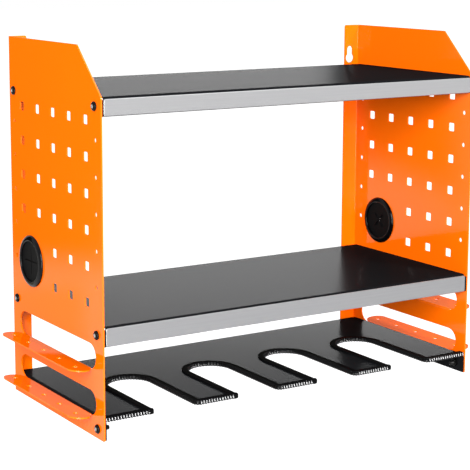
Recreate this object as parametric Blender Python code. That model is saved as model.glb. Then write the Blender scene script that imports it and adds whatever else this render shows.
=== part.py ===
# Wall organizer for power tools: two folded side panels carry two trays and a slotted tool rack.
# Metres, +Z up, front towards -Y, wall towards +Y. The origin is under the middle, at the lowest edge.
import math

import bmesh
import bpy
from mathutils import Vector

# Overall sizes
overall_width = 0.488
overall_depth = 0.221
overall_height = 0.406

# Sheet metal and fits
sheet = 0.0015
bend_inside = 0.0010
seat_gap = 0.0003
hole_clearance = 0.0003
join_distance = 0.000001
sharp_edge_angle = math.radians(35)
bend_steps = 4
corner_steps = 3

# Side panels
flange_width = 0.022
flange_corner = 0.002
chamfer_depth = 0.052
chamfer_height = 0.050
panel_corner = 0.0015

# Square perforations between the trays, as many as keep clear of the front edge and the middle tray
perforation_size = 0.010
perforation_corner = 0.001
perforation_pitch = 0.038
first_column_from_wall = 0.034
column_clear_of_front = 0.030
first_row_below_tray = 0.0255
row_clear_of_tray = 0.015
grommet_rows = 2
grommet_columns = 2

# Round margin holes beside the perforations
margin_hole_diameter = 0.0055
margin_inset = 0.0135
margin_step_share = 0.5

# Two windows below the middle tray, with a holder tab bent out of each
window_from_wall = 0.019
window_from_front = 0.0165
window_from_tray = 0.0222
lower_window_sill = 0.0214
window_bar_height = 0.0226
tab_relief = 0.0010
tab_cut_width = 0.0004
tab_rise_angle = math.radians(5)
tab_hole_diameter = 0.0065
tab_hole_out_share = 0.556

# Wall fixings in the rear flanges
keyhole_head_diameter = 0.0122
keyhole_slot_diameter = 0.0082
keyhole_slot_rise = 0.011
keyhole_from_top = 0.0418
keyhole_from_side = 0.0141

# Trays
top_tray_from_top = 0.0495
top_tray_lip = 0.0200
middle_tray_height = 0.1210
middle_tray_lip = 0.0211
tray_from_wall = 0.0064
lip_corner = 0.0012
lip_relief = 0.0005

# Aluminium front strips
strip_thickness = 0.0015
strip_bevel = 0.0006
strip_corner = 0.0020
strip_setback = 0.0002
strip_end_gap = 0.0003
top_strip_drop = 0.0022
top_strip_height = 0.0173
middle_strip_drop = 0.0016
middle_strip_height = 0.0192

# Tool rack with open slots
rack_height = 0.0235
rack_end_clearance = 0.0010
rack_foot_clearance = 0.0006
rack_rear_lip = 0.0150
slot_count = 4
slot_pitch = 0.1054
slot_clear_width = 0.0512
slot_clear_depth = 0.1260
finger_corner = 0.0050
finger_corner_steps = 4
slot_steps = 14
rack_lip_setback = 0.0003
rack_nose_relief = 0.0012

# Rubber edge trim pushed over the rack's slots and tips
trim_height = 0.0048
trim_depth = 0.0080
trim_wall = 0.0015
trim_round = 0.0016
trim_gap = 0.0003
trim_setback = 0.0010
trim_corner_swell = 0.0003
trim_knob_swell = 0.0022
trim_shoulder_share = 0.3
trim_swell_rise_share = 0.3

# Screws and nuts
screw_diameter = 0.0050
screw_length = 0.0128
screw_head_diameter = 0.0100
screw_head_height = 0.0026
screw_head_edge = 0.0007
screw_socket_size = 0.0032
screw_socket_depth = 0.0016
crown_rise_share = 0.75
crown_width_share = 0.8
land_width_share = 0.5
nut_size = 0.0080
nut_height = 0.0040
nut_chamfer = 0.0005
nut_chamfer_share = 0.92
top_screw_drop = 0.0100
middle_screw_drop = 0.0105
rack_screw_drop = 0.0130
fastener_sides = 12

# Cable grommets
grommet_diameter = 0.0580
grommet_hole_diameter = 0.0500
grommet_height = 0.0036
grommet_wall = 0.0029
grommet_lip_depth = 0.0010
membrane_diameter = 0.0450
membrane_thickness = 0.0009
membrane_slit_length = 0.0220
membrane_slit_width = 0.0008
grommet_sides = 24
left_slit_angle = 0.0
right_slit_angle = math.radians(45)

# Places worked out from the sizes above
bend_outside = bend_inside + sheet
half_width = overall_width / 2
inner_half_width = half_width - sheet
wall_y = overall_depth / 2
front_y = -overall_depth / 2
shelf_half_width = inner_half_width - seat_gap
tray_front_y = front_y + strip_setback + strip_thickness + seat_gap
tray_rear_y = wall_y - tray_from_wall
screw_hole_diameter = screw_diameter + 2 * hole_clearance
screw_front_y = front_y + margin_inset
screw_rear_y = wall_y - margin_inset
top_tray_height = overall_height - top_tray_from_top
window_room = middle_tray_height - window_from_tray - lower_window_sill
window_height = (window_room - window_bar_height) / 2
tab_reach = window_height - tab_cut_width
first_column_y = wall_y - first_column_from_wall
first_row_z = top_tray_height - first_row_below_tray
column_room = first_column_y - front_y - column_clear_of_front
row_room = first_row_z - middle_tray_height - row_clear_of_tray
perforation_columns = 1 + math.floor(column_room / perforation_pitch)
perforation_rows = 1 + math.floor(row_room / perforation_pitch)
grommet_y = first_column_y - perforation_pitch * (grommet_columns - 1) / 2
grommet_z = first_row_z - perforation_pitch * (perforation_rows - (grommet_rows + 1) / 2)


def clear_scene():
    for thing in list(bpy.data.objects):
        bpy.data.objects.remove(thing, do_unlink=True)


def finish_material(name, colour, roughness, metallic=0.0):
    made = bpy.data.materials.new(name)
    made.use_nodes = True
    shader = made.node_tree.nodes["Principled BSDF"]
    shader.inputs["Base Color"].default_value = (*colour, 1.0)
    shader.inputs["Roughness"].default_value = roughness
    shader.inputs["Metallic"].default_value = metallic
    return made


# Flat outlines, as lists of (u, v) points that run anticlockwise
def arc(centre_u, centre_v, radius, start, end, steps):
    return [
        (
            centre_u + radius * math.cos(start + (end - start) * i / steps),
            centre_v + radius * math.sin(start + (end - start) * i / steps),
        )
        for i in range(steps + 1)
    ]


def circle(centre_u, centre_v, diameter, sides):
    turn = 2 * math.pi / sides
    return arc(centre_u, centre_v, diameter / 2, turn / 2, 2 * math.pi - turn / 2, sides - 1)


def rounded(points, radii, steps=corner_steps):
    outline = []
    count = len(points)
    for i, point in enumerate(points):
        radius = radii[i] if isinstance(radii, (list, tuple)) else radii
        corner = Vector(point)
        before = (Vector(points[i - 1]) - corner).normalized()
        after = (Vector(points[(i + 1) % count]) - corner).normalized()
        if radius <= 0:
            outline.append(tuple(corner))
            continue
        half = before.angle(after) / 2
        reach = radius / math.tan(half)
        centre = corner + (before + after).normalized() * radius / math.sin(half)
        first = corner + before * reach - centre
        turn = first.angle_signed(corner + after * reach - centre)
        start = math.atan2(first.y, first.x)
        outline += arc(centre.x, centre.y, radius, start, start - turn, steps)
    return outline


def rectangle(low_u, low_v, high_u, high_v):
    return [(low_u, low_v), (high_u, low_v), (high_u, high_v), (low_u, high_v)]


def square_hole(centre_u, centre_v):
    half = perforation_size / 2
    corners = rectangle(centre_u - half, centre_v - half, centre_u + half, centre_v + half)
    return rounded(corners, perforation_corner, 1)


def keyhole(centre_u, centre_v):
    head = keyhole_head_diameter / 2
    slot = keyhole_slot_diameter / 2
    neck = math.acos(slot / head)
    lower = arc(centre_u, centre_v, head, math.pi - neck, 2 * math.pi + neck, 12)
    upper = arc(centre_u, centre_v + keyhole_slot_rise, slot, 0, math.pi, 6)
    return lower + upper


def cross_hole(centre_u, centre_v, length, width, angle):
    half = width / 2
    reach = length / 2
    outline = []
    for quarter in range(4):
        turn = angle + quarter * math.pi / 2
        for along, across in ((reach, -half), (reach, half), (half, half)):
            outline.append(
                (
                    centre_u + along * math.cos(turn) - across * math.sin(turn),
                    centre_v + along * math.sin(turn) + across * math.cos(turn),
                )
            )
    return outline


# A folded sheet: flat faces with holes, and bends between them, given thickness at the end
class FoldedSheet:
    def __init__(self, name):
        self.name = name
        self.mesh = bmesh.new()
        self.known = {}

    def vertex(self, point):
        key = tuple(round(value / join_distance) for value in point)
        if key not in self.known:
            self.known[key] = self.mesh.verts.new(point)
        return self.known[key]

    def loop_edges(self, points):
        verts = [self.vertex(point) for point in points]
        edges = []
        for first, second in zip(verts, verts[1:] + verts[:1]):
            if first is second:
                continue
            found = self.mesh.edges.get((first, second))
            edges.append(found or self.mesh.edges.new((first, second)))
        return edges

    def flat(self, outline, holes=()):
        edges = self.loop_edges(outline)
        for hole in holes:
            edges += self.loop_edges(hole)
        bmesh.ops.triangle_fill(self.mesh, edges=edges, use_beauty=True)

    def bend(self, first_line, second_line):
        corners = (*first_line, *reversed(second_line))
        self.mesh.faces.new([self.vertex(point) for point in corners])

    # Rolls a straight edge round an axis and returns where the edge ends up
    def roll(self, start, end, outward, down, radius, angle, steps=bend_steps):
        def turned(point, step):
            swing = angle * step / steps
            return point + outward * radius * math.sin(swing) + down * radius * (1 - math.cos(swing))

        for step in range(steps):
            self.bend(
                (turned(start, step), turned(end, step)),
                (turned(start, step + 1), turned(end, step + 1)),
            )
        return turned(start, steps), turned(end, steps)

    def finish(self, finish, outside_point, outside_direction):
        bmesh.ops.remove_doubles(self.mesh, verts=self.mesh.verts, dist=join_distance)
        bmesh.ops.recalc_face_normals(self.mesh, faces=self.mesh.faces)
        nearest = min(
            self.mesh.faces,
            key=lambda face: (face.calc_center_median() - outside_point).length,
        )
        if nearest.normal.dot(outside_direction) < 0:
            bmesh.ops.reverse_faces(self.mesh, faces=self.mesh.faces)
        made = object_from(self.name, self.mesh, finish)
        wall = made.modifiers.new("Sheet", "SOLIDIFY")
        wall.thickness = sheet
        wall.offset = -1.0
        wall.use_even_offset = True
        wall.use_quality_normals = True
        made.modifiers.new("Flat faces", "WEIGHTED_NORMAL").keep_sharp = True
        return made


def mesh_data(name, mesh, finish):
    data = bpy.data.meshes.new(name)
    mesh.to_mesh(data)
    mesh.free()
    data.shade_smooth()
    data.set_sharp_from_angle(angle=sharp_edge_angle)
    data.materials.append(finish)
    return data


def link_object(name, data):
    made = bpy.data.objects.new(name, data)
    bpy.context.scene.collection.objects.link(made)
    return made


def object_from(name, mesh, finish):
    return link_object(name, mesh_data(name, mesh, finish))


# Joins rings of equal point counts into a closed skin; loose ends are capped
def lofted(mesh, rings, closed_round=False):
    made = [[mesh.verts.new(point) for point in ring] for ring in rings]
    count = len(made[0])
    pairs = list(zip(made, made[1:]))
    if closed_round:
        pairs.append((made[-1], made[0]))
    for lower, upper in pairs:
        for i in range(count):
            j = (i + 1) % count
            mesh.faces.new((lower[i], lower[j], upper[j], upper[i]))
    if not closed_round:
        mesh.faces.new(list(reversed(made[0])))
        mesh.faces.new(made[-1])


def ring_round_x(centre, x, radii_and_angles):
    return [
        Vector((x, centre[0] + radius * math.cos(angle), centre[1] + radius * math.sin(angle)))
        for radius, angle in radii_and_angles
    ]


def round_ring(radius, sides):
    return [(radius, 2 * math.pi * i / sides) for i in range(sides)]


# A hexagon with a point at each corner and at the middle of each flat
def hexagon_ring(size_across_flats):
    flat_radius = size_across_flats / 2
    corner_radius = flat_radius / math.cos(math.pi / 6)
    return [
        (corner_radius if i % 2 == 0 else flat_radius, 2 * math.pi * i / fastener_sides)
        for i in range(fastener_sides)
    ]


# Side panel: one folded sheet with perforations, windows, holder tabs and a keyholed rear flange
def perforations():
    holes = []
    for row in range(perforation_rows):
        shortened = row >= perforation_rows - grommet_rows
        first = grommet_columns if shortened else 0
        for column in range(first, perforation_columns):
            y = first_column_y - perforation_pitch * column
            z = first_row_z - perforation_pitch * row
            holes.append(square_hole(y, z))
    return holes


def margin_holes():
    holes = []
    for step in range(perforation_rows - 1):
        z = first_row_z - perforation_pitch * (step + margin_step_share)
        for y in (screw_rear_y, screw_front_y):
            holes.append(circle(y, z, margin_hole_diameter, 8))
    return holes


def shelf_screw_heights():
    return (
        top_tray_height - top_screw_drop,
        middle_tray_height - middle_screw_drop,
        rack_height - rack_screw_drop,
    )


def window_ends():
    radius = window_height / 2
    return front_y + window_from_front + radius, wall_y - window_from_wall - radius


def tab_bend_start(sill):
    return sill - bend_inside * math.cos(tab_rise_angle)


# The window is a slot with round ends; a small relief at each end of its sill frees the tab's bend
def window_hole(sill):
    radius = window_height / 2
    front, rear = window_ends()
    bend_start = tab_bend_start(sill)
    free = math.pi / 2 - math.asin(tab_relief / radius)
    outline = [(front, bend_start), (rear, bend_start), (rear + tab_relief, bend_start)]
    outline += arc(rear, sill + radius, radius, -free, math.pi / 2, 9)
    outline += arc(front, sill + radius, radius, math.pi / 2, math.pi + free, 9)
    outline.append((front - tab_relief, bend_start))
    return outline


def holder_tab(panel, side, sill):
    front, rear = window_ends()
    skin_x = side * half_width
    base_z = tab_bend_start(sill)
    up = Vector((0, 0, 1))
    out = Vector((side, 0, 0))
    swing = math.pi / 2 - tab_rise_angle
    start, end = panel.roll(
        Vector((skin_x, front, base_z)), Vector((skin_x, rear, base_z)), up, out, bend_inside, swing
    )
    slope = out * math.sin(swing) + up * math.cos(swing)
    bend_reach = abs(start.x - skin_x)
    radius = (tab_reach - bend_reach) / math.sin(swing) / 2
    hole_across = (tab_reach * tab_hole_out_share - bend_reach) / math.sin(swing)

    def place(along_y, across):
        return Vector((start.x, along_y, start.z)) + slope * across

    outline = arc(rear, radius, radius, -math.pi / 2, math.pi / 2, 10)
    outline += arc(front, radius, radius, math.pi / 2, math.pi * 3 / 2, 10)
    holes = []
    for column in range(perforation_columns):
        y = first_column_y - perforation_pitch * column
        holes.append([place(*p) for p in circle(y, hole_across, tab_hole_diameter, 10)])
    panel.flat([place(*p) for p in outline], holes)


def side_panel(name, side, finish):
    panel = FoldedSheet(name)
    skin_x = side * half_width
    rear_y = wall_y - bend_outside
    outline = rounded(
        [
            (rear_y, 0.0),
            (rear_y, overall_height),
            (front_y + chamfer_depth, overall_height),
            (front_y, overall_height - chamfer_height),
            (front_y, 0.0),
        ],
        [0.0, 0.0, panel_corner, panel_corner, panel_corner],
    )
    holes = perforations() + margin_holes()
    holes.append(circle(grommet_y, grommet_z, grommet_hole_diameter, grommet_sides))
    for z in shelf_screw_heights():
        for y in (screw_rear_y, screw_front_y):
            holes.append(circle(y, z, screw_hole_diameter, 10))
    sills = (lower_window_sill, lower_window_sill + window_height + window_bar_height)
    holes += [window_hole(sill) for sill in sills]
    panel.flat([(skin_x, *p) for p in outline], [[(skin_x, *p) for p in hole] for hole in holes])
    for sill in sills:
        holder_tab(panel, side, sill)

    start, end = panel.roll(
        Vector((skin_x, rear_y, 0.0)),
        Vector((skin_x, rear_y, overall_height)),
        Vector((0, 1, 0)),
        Vector((-side, 0, 0)),
        bend_outside,
        math.pi / 2,
    )
    near = half_width - bend_outside
    far = half_width - flange_width
    flange = rounded(
        [(near, 0.0), (near, overall_height), (far, overall_height), (far, 0.0)],
        [0.0, 0.0, flange_corner, flange_corner],
    )
    hanger = keyhole(half_width - keyhole_from_side, overall_height - keyhole_from_top)
    panel.flat(
        [(side * u, start.y, v) for u, v in flange],
        [[(side * u, start.y, v) for u, v in hanger]],
    )
    outside = Vector((skin_x, front_y, overall_height / 2))
    return panel.finish(finish, outside, Vector((side, 0, 0)))


# A lip folded down from a whole edge, from start to end, with rounded lower corners
def folded_lip(plate, start, end, outward, depth):
    down = Vector((0, 0, -1))
    first, last = plate.roll(start, end, outward, down, bend_outside, math.pi / 2)
    along = (last - first).normalized()
    length = (last - first).length
    drop = depth - bend_outside
    shape = rounded([(0, 0), (length, 0), (length, drop), (0, drop)], [0, 0, lip_corner, lip_corner])
    plate.flat([first + along * u + down * v for u, v in shape])


# A lip at a tray's or the rack's end, screwed to the side panel; it runs past its bend both ways
def end_lip(plate, side, height, bend_range, lip_range, foot, screw_drop, relief):
    side_x = shelf_half_width - bend_outside
    first, last = plate.roll(
        Vector((side * side_x, bend_range[0], height)),
        Vector((side * side_x, bend_range[1], height)),
        Vector((side, 0, 0)),
        Vector((0, 0, -1)),
        bend_outside,
        math.pi / 2,
    )
    top = height - bend_outside
    step = top - relief
    shape = rounded(
        [
            (bend_range[0], top),
            (bend_range[1], top),
            (bend_range[1], step),
            (lip_range[1], step),
            (lip_range[1], foot),
            (lip_range[0], foot),
            (lip_range[0], step),
            (bend_range[0], step),
        ],
        [0, 0, 0, 0, lip_corner, lip_corner, 0, 0],
    )
    holes = [
        circle(y, height - screw_drop, screw_hole_diameter, fastener_sides)
        for y in (screw_front_y, screw_rear_y)
    ]
    plate.flat([(first.x, *p) for p in shape], [[(first.x, *p) for p in hole] for hole in holes])


def tray(name, height, lip, screw_drop, finish):
    made = FoldedSheet(name)
    side_x = shelf_half_width - bend_outside
    bend_range = (tray_front_y + bend_outside, tray_rear_y - bend_outside)
    corners = [
        Vector((u, v, height))
        for u, v in rectangle(-side_x, bend_range[0], side_x, bend_range[1])
    ]
    made.flat(corners)
    folded_lip(made, corners[0], corners[1], Vector((0, -1, 0)), lip)
    folded_lip(made, corners[2], corners[3], Vector((0, 1, 0)), lip)
    lip_range = (front_y + strip_setback, tray_rear_y)
    for side in (-1, 1):
        end_lip(made, side, height, bend_range, lip_range, height - lip, screw_drop, lip_relief)
    return made.finish(finish, Vector((0, 0, height)), Vector((0, 0, 1)))


# Brushed strip on a tray's front lip, with rounded corners and softened front edges
def front_strip(name, tray_height, drop, height, finish):
    half = shelf_half_width - sheet - strip_end_gap
    top = tray_height - drop
    front = front_y + strip_setback
    mesh = bmesh.new()

    def ring(y, inset):
        corners = rectangle(-half + inset, top - height + inset, half - inset, top - inset)
        return [Vector((u, y, v)) for u, v in rounded(corners, strip_corner - inset)]

    lofted(
        mesh,
        [ring(front + strip_thickness, 0.0), ring(front + strip_bevel, 0.0), ring(front, strip_bevel)],
    )
    bmesh.ops.recalc_face_normals(mesh, faces=mesh.faces)
    return object_from(name, mesh, finish)


# One step along the rack's front edge, which can be inset towards the metal
class EdgeStep:
    def __init__(self, point, inward, radius=None, mitre=None, swell=0.0):
        self.point = Vector(point)
        self.inward = Vector(inward)
        self.radius = radius
        self.mitre = mitre
        self.swell = swell

    # Past the middle of a tip's corner all its steps meet in one mitre point
    def inset(self, distance):
        if self.radius is None or distance < self.radius:
            return self.point + self.inward * distance
        middle = self.point + self.inward * self.radius
        return middle + self.mitre * (distance - self.radius)


def straight_step(x, y, inward):
    return EdgeStep((x, y), inward)


# A tip's outer corner; side is 1 where the edge turns back into the slot on its right
def corner_steps_of(x, tip_y, side, swell):
    centre = Vector((x - side * finger_corner, tip_y + finger_corner))
    mitre = Vector((-side, 1))
    steps = []
    for i in range(finger_corner_steps + 1):
        share = i / finger_corner_steps
        turn = share if side > 0 else 1 - share
        angle = -math.pi / 2 + side * turn * math.pi / 2
        outward = Vector((math.cos(angle), math.sin(angle)))
        fuller = swell * math.sin(math.pi * share)
        steps.append(EdgeStep(centre + outward * finger_corner, -outward, finger_corner, mitre, fuller))
    return steps


# The rack's front edge: finger tips and U slots, from the left end to the right end
def rack_front_edge(end_x):
    edge_offset = trim_gap + trim_wall
    tip_y = front_y + trim_setback + edge_offset
    half = slot_clear_width / 2 + edge_offset
    middle_y = front_y + slot_clear_depth - slot_clear_width / 2
    steps = [straight_step(-end_x, tip_y, (0, 1))]
    for slot in range(slot_count):
        centre = slot_pitch * (slot - (slot_count - 1) / 2)
        steps += corner_steps_of(centre - half, tip_y, 1, trim_knob_swell)
        for x, y in arc(centre, middle_y, half, math.pi, 0, slot_steps):
            steps.append(straight_step(x, y, ((x - centre) / half, (y - middle_y) / half)))
        steps += corner_steps_of(centre + half, tip_y, -1, trim_corner_swell)
    steps.append(straight_step(end_x, tip_y, (0, 1)))
    return steps


def tool_rack(name, finish):
    rack = FoldedSheet(name)
    end_x = shelf_half_width - rack_end_clearance
    side_x = shelf_half_width - bend_outside
    notch_y = front_y + trim_setback + trim_depth + rack_nose_relief
    bend_range = (notch_y + rack_nose_relief, tray_rear_y - bend_outside)
    outline = [tuple(step.point) for step in rack_front_edge(end_x)]
    outline += [(end_x, notch_y), (side_x, notch_y), (side_x, bend_range[0])]
    outline += [(side_x, bend_range[1]), (-side_x, bend_range[1])]
    outline += [(-side_x, bend_range[0]), (-side_x, notch_y), (-end_x, notch_y)]
    rack.flat([(u, v, rack_height) for u, v in outline])
    folded_lip(
        rack,
        Vector((side_x, bend_range[1], rack_height)),
        Vector((-side_x, bend_range[1], rack_height)),
        Vector((0, 1, 0)),
        rack_rear_lip,
    )
    lip_range = (front_y + rack_lip_setback, tray_rear_y)
    for side in (-1, 1):
        end_lip(
            rack,
            side,
            rack_height,
            bend_range,
            lip_range,
            rack_foot_clearance,
            rack_screw_drop,
            rack_nose_relief,
        )
    return rack.finish(finish, Vector((0, bend_range[1], rack_height)), Vector((0, 0, 1)))


# Rubber trim's U section, as (distance into the metal, height) points; swell makes it fuller
def trim_profile(swell):
    lip_half = trim_height / 2
    half = lip_half + swell * trim_swell_rise_share
    slot = sheet / 2 + trim_gap
    outer = -(trim_gap + trim_wall) - swell
    lip = trim_depth - trim_gap - trim_wall
    shoulder = trim_round * trim_shoulder_share
    return [
        (outer, -half + trim_round),
        (outer + shoulder, -half + shoulder),
        (outer + trim_round, -half),
        (lip - shoulder, -lip_half),
        (lip, -slot),
        (-trim_gap, -slot),
        (-trim_gap, slot),
        (lip, slot),
        (lip - shoulder, lip_half),
        (outer + trim_round, half),
        (outer + shoulder, half - shoulder),
        (outer, half - trim_round),
    ]


# The trim runs on past the metal's ends to the side panels, and bunches up at each tip's right corner
def rack_edge_trim(name, finish):
    middle_z = rack_height - sheet / 2
    mesh = bmesh.new()
    rings = [
        [Vector((*step.inset(into), middle_z + up)) for into, up in trim_profile(step.swell)]
        for step in rack_front_edge(shelf_half_width)
    ]
    lofted(mesh, rings)
    bmesh.ops.remove_doubles(mesh, verts=mesh.verts, dist=join_distance)
    bmesh.ops.recalc_face_normals(mesh, faces=mesh.faces)
    return object_from(name, mesh, finish)


# Button-head screw with a hexagon socket, lying along +X with its head's seat at the origin
def screw_mesh(finish):
    mesh = bmesh.new()
    radius = screw_head_diameter / 2
    thread = round_ring(screw_diameter / 2, fastener_sides)
    socket = hexagon_ring(screw_socket_size)
    stations = [
        (-screw_length, thread),
        (0.0, thread),
        (0.0, round_ring(radius, fastener_sides)),
        (screw_head_edge, round_ring(radius, fastener_sides)),
        (screw_head_height * crown_rise_share, round_ring(radius * crown_width_share, fastener_sides)),
        (screw_head_height, round_ring(radius * land_width_share, fastener_sides)),
        (screw_head_height, socket),
        (screw_head_height - screw_socket_depth, socket),
    ]
    lofted(mesh, [ring_round_x((0.0, 0.0), x, ring) for x, ring in stations])
    bmesh.ops.recalc_face_normals(mesh, faces=mesh.faces)
    return mesh_data("screw", mesh, finish)


# Hexagon nut with its seat at the origin, lying towards -X
def nut_mesh(finish):
    mesh = bmesh.new()
    bore = round_ring(screw_diameter / 2 + hole_clearance, fastener_sides)
    outer = hexagon_ring(nut_size)
    corner = [(radius * nut_chamfer_share, angle) for radius, angle in outer]
    stations = (
        (0.0, outer),
        (nut_chamfer - nut_height, outer),
        (-nut_height, corner),
        (-nut_height, bore),
        (0.0, bore),
    )
    rings = [ring_round_x((0.0, 0.0), x, ring) for x, ring in stations]
    lofted(mesh, rings, closed_round=True)
    bmesh.ops.recalc_face_normals(mesh, faces=mesh.faces)
    return mesh_data("nut", mesh, finish)


def place_fasteners(screw, nut):
    screw_x = half_width + seat_gap
    nut_x = shelf_half_width - sheet - seat_gap
    for level, height in zip(("top_shelf", "middle_shelf", "rack"), shelf_screw_heights()):
        for side, side_name in ((-1, "left"), (1, "right")):
            for end_name, y in (("front", screw_front_y), ("rear", screw_rear_y)):
                base = level + "_" + side_name + "_" + end_name
                for kind, data, x in (("screw", screw, screw_x), ("nut", nut, nut_x)):
                    made = link_object(base + "_" + kind, data)
                    made.location = (side * x, y, height)
                    made.rotation_euler.z = 0.0 if side > 0 else math.pi


# Turned ring round the grommet's axis, from (radius, height out of the panel) points
def turned_ring(name, face_x, outward, profile, finish):
    mesh = bmesh.new()
    rings = [
        ring_round_x((grommet_y, grommet_z), face_x + outward * height, round_ring(radius, grommet_sides))
        for radius, height in profile
    ]
    lofted(mesh, rings, closed_round=True)
    bmesh.ops.recalc_face_normals(mesh, faces=mesh.faces)
    return object_from(name, mesh, finish)


def slit_membrane(name, face_x, low, outward, angle, finish):
    mesh = FoldedSheet(name)
    x = face_x + outward * (low + membrane_thickness)
    outline = circle(grommet_y, grommet_z, membrane_diameter, grommet_sides)
    slits = cross_hole(grommet_y, grommet_z, membrane_slit_length, membrane_slit_width, angle)
    mesh.flat([(x, *p) for p in outline], [[(x, *p) for p in slits]])
    rim = Vector((x, grommet_y + membrane_diameter / 2, grommet_z))
    made = mesh.finish(finish, rim, Vector((outward, 0, 0)))
    made.modifiers["Sheet"].thickness = membrane_thickness
    return made


# Two-part snap grommet: the outer ring's barrel passes the panel and the inner ring caps it
def grommet(side_name, side, slit_angle, ring_finish, membrane_finish):
    rim = grommet_diameter / 2
    barrel = grommet_hole_diameter / 2 - seat_gap
    bore = barrel - grommet_wall
    seat = membrane_diameter / 2 + seat_gap
    crown = (rim + barrel) / 2 - seat_gap
    dome = [
        (rim, seat_gap),
        (rim - grommet_lip_depth, grommet_height / 2),
        (crown, grommet_height - grommet_lip_depth / 2),
        (barrel - grommet_lip_depth / 2, grommet_height),
        (seat, grommet_height),
    ]
    outer_seat = grommet_height - grommet_lip_depth - membrane_thickness - seat_gap
    barrel_end = -(sheet + grommet_height - grommet_lip_depth - membrane_thickness)
    outer_profile = dome + [
        (seat, outer_seat),
        (bore, outer_seat),
        (bore, barrel_end),
        (barrel, barrel_end),
        (barrel, seat_gap),
    ]
    inner_seat = -barrel_end - sheet + seat_gap
    inner_profile = dome + [
        (seat, inner_seat),
        (barrel + seat_gap, inner_seat),
        (barrel + seat_gap, seat_gap),
    ]
    outer_face = side * half_width
    inner_face = side * inner_half_width
    turned_ring(side_name + "_grommet_outer_ring", outer_face, side, outer_profile, ring_finish)
    turned_ring(side_name + "_grommet_inner_ring", inner_face, -side, inner_profile, ring_finish)
    slit_membrane(
        side_name + "_grommet_outer_membrane",
        outer_face,
        outer_seat + seat_gap,
        side,
        slit_angle,
        membrane_finish,
    )
    slit_membrane(
        side_name + "_grommet_inner_membrane",
        inner_face,
        inner_seat,
        -side,
        slit_angle,
        membrane_finish,
    )


def main():
    clear_scene()
    orange = (1.0, 0.21, 0.008)
    black = (0.02, 0.02, 0.022)
    side_names = ((-1, "left", left_slit_angle), (1, "right", right_slit_angle))
    for side, side_name, _ in side_names:
        name = side_name + "_side_panel"
        side_panel(name, side, finish_material(name + "_orange_powder_coat", orange, 0.25))
    tray("top_shelf", top_tray_height, top_tray_lip, top_screw_drop,
         finish_material("top_shelf_black_powder_coat", black, 0.35))
    tray("middle_shelf", middle_tray_height, middle_tray_lip, middle_screw_drop,
         finish_material("middle_shelf_black_powder_coat", black, 0.35))
    tool_rack("tool_rack", finish_material("tool_rack_black_powder_coat", black, 0.35))
    silver = (0.72, 0.72, 0.73)
    front_strip("top_shelf_front_strip", top_tray_height, top_strip_drop, top_strip_height,
                finish_material("top_strip_brushed_aluminium", silver, 0.35, 1.0))
    front_strip("middle_shelf_front_strip", middle_tray_height, middle_strip_drop, middle_strip_height,
                finish_material("middle_strip_brushed_aluminium", silver, 0.35, 1.0))
    rack_edge_trim("rack_edge_trim", finish_material("rack_trim_black_rubber", (0.012, 0.012, 0.013), 0.4))
    place_fasteners(
        screw_mesh(finish_material("screw_black_zinc", (0.03, 0.03, 0.032), 0.35, 0.8)),
        nut_mesh(finish_material("nut_black_zinc", (0.05, 0.05, 0.052), 0.4, 0.8)),
    )
    for side, side_name, slit_angle in side_names:
        grommet(
            side_name,
            side,
            slit_angle,
            finish_material(side_name + "_grommet_black_plastic", (0.01, 0.01, 0.011), 0.2),
            finish_material(side_name + "_grommet_black_rubber", (0.02, 0.02, 0.021), 0.6),
        )


main()
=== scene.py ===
# Looks for the wall organizer: finishes, fasteners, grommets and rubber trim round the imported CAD
import math

import bmesh
import bpy
from mathutils import Matrix, Vector


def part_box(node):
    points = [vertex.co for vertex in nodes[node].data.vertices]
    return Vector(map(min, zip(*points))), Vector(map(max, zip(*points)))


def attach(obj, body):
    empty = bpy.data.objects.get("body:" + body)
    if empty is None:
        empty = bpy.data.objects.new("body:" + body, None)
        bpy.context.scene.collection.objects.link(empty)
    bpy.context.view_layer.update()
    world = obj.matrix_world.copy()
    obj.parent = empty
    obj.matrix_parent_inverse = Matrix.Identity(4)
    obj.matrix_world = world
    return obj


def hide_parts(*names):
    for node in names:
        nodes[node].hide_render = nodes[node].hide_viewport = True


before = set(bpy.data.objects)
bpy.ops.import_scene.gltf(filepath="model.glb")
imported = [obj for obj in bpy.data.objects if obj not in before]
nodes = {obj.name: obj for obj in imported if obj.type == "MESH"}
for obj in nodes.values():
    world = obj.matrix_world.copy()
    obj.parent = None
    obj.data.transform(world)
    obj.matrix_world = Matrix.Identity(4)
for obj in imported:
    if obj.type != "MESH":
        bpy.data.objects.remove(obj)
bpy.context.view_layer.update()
print("frame loaded:", len(nodes), "CAD nodes")


# Objects, and nodes whose inputs take either a plain value or the socket that it comes from
def addObject(name, data):
    made = bpy.data.objects.new(name, data)
    bpy.context.scene.collection.objects.link(made)
    return made


def feed(tree, value, socket):
    if isinstance(value, bpy.types.NodeSocket):
        tree.links.new(value, socket)
    else:
        socket.default_value = value


def addNode(tree, kind, inputs=None, **settings):
    made = tree.nodes.new(kind)
    for setting, value in settings.items():
        setattr(made, setting, value)
    for socketName, value in (inputs or {}).items():
        feed(tree, value, made.inputs[socketName])
    return made


def newTree(name, kind, inputs, outputs):
    tree = bpy.data.node_groups.new(name, kind)
    for socketName, socketKind, value in inputs:
        made = tree.interface.new_socket(name=socketName, in_out="INPUT", socket_type=socketKind)
        if value is not None:
            made.default_value = value
    for socketName, socketKind in outputs:
        tree.interface.new_socket(name=socketName, in_out="OUTPUT", socket_type=socketKind)
    return tree, tree.nodes.new("NodeGroupInput"), tree.nodes.new("NodeGroupOutput")


def emptyTree(holder):
    holder.use_nodes = True
    holder.node_tree.nodes.clear()
    return holder.node_tree


def addMath(tree, operation, first, second):
    return addNode(tree, "ShaderNodeMath", {0: first, 1: second}, operation=operation).outputs[0]


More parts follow.
